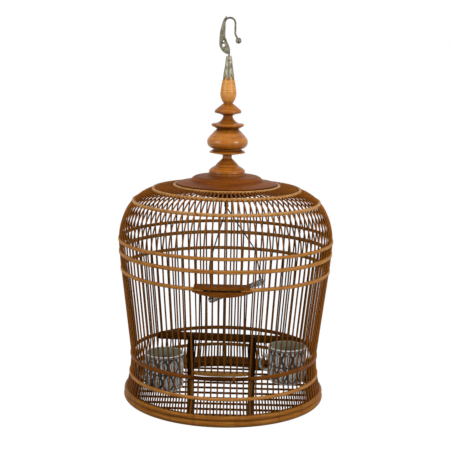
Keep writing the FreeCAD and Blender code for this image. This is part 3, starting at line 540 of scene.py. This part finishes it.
hem = kit.math("MULTIPLY", kit.span(edge, 0.13, 0.15), kit.span(edge, 0.21, 0.19))
from_middle = kit.math("ABSOLUTE", upwards)
vein = kit.math("MULTIPLY", kit.span(sideways, 0.055, 0.030), kit.span(from_middle, 0.34, 0.28))
lozenge = kit.math("ADD", kit.math("MULTIPLY", kit.math("SUBTRACT", 0.5, sideways), 1.5),
                   kit.math("ABSOLUTE", kit.math("SUBTRACT", from_middle, 0.36)))
pale = kit.math("MULTIPLY", petal, kit.math("SUBTRACT", 1.0, kit.math("MAXIMUM", vein, hem)))
pale = kit.math("MAXIMUM", pale, kit.span(lozenge, 0.16, 0.12))
kit.put(kit.math("SUBTRACT", 1.0, pale), give["Ink"])
slope = kit.math("ADD", upwards, kit.math("MULTIPLY", sideways, 0.9))
barbs = kit.math("SINE", kit.math("MULTIPLY", slope, barb_rate))
kit.put(kit.math("MULTIPLY", petal, kit.span(barbs, 0.4, 0.9, 0.0, 0.25)), give["Wash"])
painted = kit.tree
print("group", painted.name)

# %% [markdown]
# ## Cups
# Each cup has two rows of petals between a line at its rim and a line at its foot. The strip goes round the
# cup's own axis, and only where the surface faces out: the inside is plain and a duller grey green.

# %% Cups
soft_edge = 0.0004
pale_wash = (0.10, 0.13, 0.19, 1)
inside_grey = (0.25, 0.26, 0.20, 1)


def glaze(kit, shader, ink, wash, cloud, body):
    """Colours the strip: body, wash and brushed blue under a smooth clear glaze."""
    blue = kit.mix(cloud, (0.003, 0.004, 0.008, 1), (0.010, 0.014, 0.026, 1))
    colour = kit.mix(wash, body, pale_wash)
    kit.put(kit.mix(kit.math("MULTIPLY", ink, 0.95), colour, blue), shader.inputs["Base Color"])
    shader.inputs["Roughness"].default_value = 0.18
    shader.inputs["Coat Weight"].default_value = 0.25
    shader.inputs["Coat Roughness"].default_value = 0.08
    shader.inputs["Specular IOR Level"].default_value = 0.25


def porcelain(name, axis, radius, low, high, border, petals, rows):
    """Glazed porcelain with blue painting round an upright axis between two levels."""
    material, kit, shader = new_material(name)
    at = kit.group(around, **{"Axis X": axis[0], "Axis Y": axis[1]})
    bottom, top = low + border, high - border
    along = kit.math("MULTIPLY", at["Angle"], radius)
    up = kit.math("SUBTRACT", at["Height"], bottom)
    strip = kit.group(painted, Along=along, Up=up, Pitch=2 * math.pi * radius / petals,
                      Rise=(top - bottom) / rows, Seed=axis[0] * 40)
    between = kit.math("MULTIPLY", kit.span(at["Height"], bottom, bottom + soft_edge),
                       kit.span(at["Height"], top, top - soft_edge))
    line_inset = 0.7 * border
    from_line = kit.math("PINGPONG", kit.math("SUBTRACT", at["Height"], low + line_inset),
                         (high - low - 2 * line_inset) / 2)
    lines = kit.span(kit.math("ABSOLUTE", from_line), 0.0011, 0.0007)
    outer = kit.span(at["Outward"], 0.25, 0.45)
    ink = kit.math("MAXIMUM", kit.math("MULTIPLY", strip["Ink"], between), lines)
    wash = kit.math("MULTIPLY", strip["Wash"], between)
    cloud = kit.noise(at["Point"], scale=140.0)
    body = kit.mix(cloud, (0.62, 0.67, 0.64, 1), (0.86, 0.90, 0.88, 1))
    body = kit.mix(kit.span(at["Outward"], -0.3, 0.1), inside_grey, body)
    glaze(kit, shader, kit.math("MULTIPLY", ink, outer), kit.math("MULTIPLY", wash, outer), cloud, body)
    bump(kit, shader, kit.noise(at["Point"], scale=90.0, detail=2.0), strength=0.08, distance=0.0006)
    return material


cup = {"radius": 0.034, "low": 0.0132, "high": 0.0782, "border": 0.0042, "petals": 11, "rows": 2}
look["cup_left"] = porcelain("porcelain left cup", axis=(-0.103, -0.014), **cup)
look["cup_right"] = porcelain("porcelain right cup", axis=(0.1125, 0.045), **cup)
print("cups done,", len(look), "finishes so far")

# %% [markdown]
# ## Ends of the swing
# The swing's perch ends in two porcelain sleeves. They lie level and beside the cage's axis, so the strip is
# wound round the perch's own axis instead, with one row of petals and no lines.

# %% Ends of the swing
def porcelain_sleeve(name, way, offset, level, radius, pitch):
    """The painting wound round a level axis that goes in the direction `way`, past the cage's axis."""
    material, kit, shader = new_material(name)
    point = kit.group(around)["Point"]
    place = kit.split(point)
    along = kit.math("ADD", kit.math("MULTIPLY", place["X"], way[0]),
                     kit.math("MULTIPLY", place["Y"], way[1]))
    side = kit.math("SUBTRACT", kit.math("MULTIPLY", place["X"], way[1]),
                    kit.math("MULTIPLY", place["Y"], way[0]))
    turn = kit.math("ARCTAN2", kit.math("SUBTRACT", side, offset), kit.math("SUBTRACT", place["Z"], level))
    strip = kit.group(painted, Along=along, Up=kit.math("MULTIPLY", turn, radius), Pitch=pitch,
                      Rise=2 * math.pi * radius, Seed=7.0)
    cloud = kit.noise(point, scale=240.0)
    body = kit.mix(cloud, (0.64, 0.69, 0.67, 1), (0.88, 0.92, 0.90, 1))
    glaze(kit, shader, strip["Ink"], strip["Wash"], cloud, body)
    bump(kit, shader, kit.noise(point, scale=160.0, detail=2.0), strength=0.08, distance=0.0004)
    return material


perch_turn = math.radians(59)
perch_way = (math.cos(perch_turn), math.sin(perch_turn))
look["sleeve"] = porcelain_sleeve("porcelain swing ends", perch_way, offset=0.0258, level=0.1911,
                                  radius=0.0055, pitch=0.0150)
print("swing ends done,", len(look), "finishes in all")

# %% [markdown]
# ## Dress the solid model
# Each node of the solid model takes one of the materials above. A list for each finish shows at a glance
# which pieces share it.

# %% Assign materials
dress = {
    "bars": ["wall_bars", "head_bars", "sill_bars"],
    "crown": ["crown_bars"],
    "skirt": ["skirt_bars"],
    "door": ["door_bars"],
    "rods": ["floor_rods"],
    "waist": ["waist_ring"],
    "rattan": ["skirt_ring", "belly_ring_lower", "belly_ring_middle", "belly_ring_upper"],
    "pale": ["shoulder_ring"],
    "crown_hoops": ["crown_ring_outer", "crown_ring_inner"],
    "base": ["base_ring_lower", "base_ring_upper"],
    "board": ["lintel_upper", "lintel_lower", "lintel_pegs", "waist_pegs", "waist_binding"],
    "rail": ["door_rail"],
    "post": ["door_post_left", "door_post_right"],
    "perch": ["lower_perch", "swing_perch"],
    "cap": ["top_cap", "cap_boss"],
    "finial": ["finial_foot", "finial_disc", "finial_umbrella"],
    "bulb": ["finial_bulb"],
    "drop": ["finial_drop"],
    "pewter": ["hook_ball"],
    "hook": ["hook_wire"],
    "leaf": ["hook_leaf"],
    "ferrule": ["hook_ferrule"],
    "steel": ["tie_rod", "tie_washer", "tie_nut"],
    "wire": ["swing_eye", "swing_wire"],
    "sleeve": ["swing_cap_front", "swing_cap_back"],
    "cup_left": ["cup_left"],
    "cup_right": ["cup_right"],
}
for key, names in dress.items():
    for name in names:
        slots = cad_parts[name].data.materials
        slots.clear()
        slots.append(look[key])
print("dressed", sum(len(names) for names in dress.values()), "nodes")
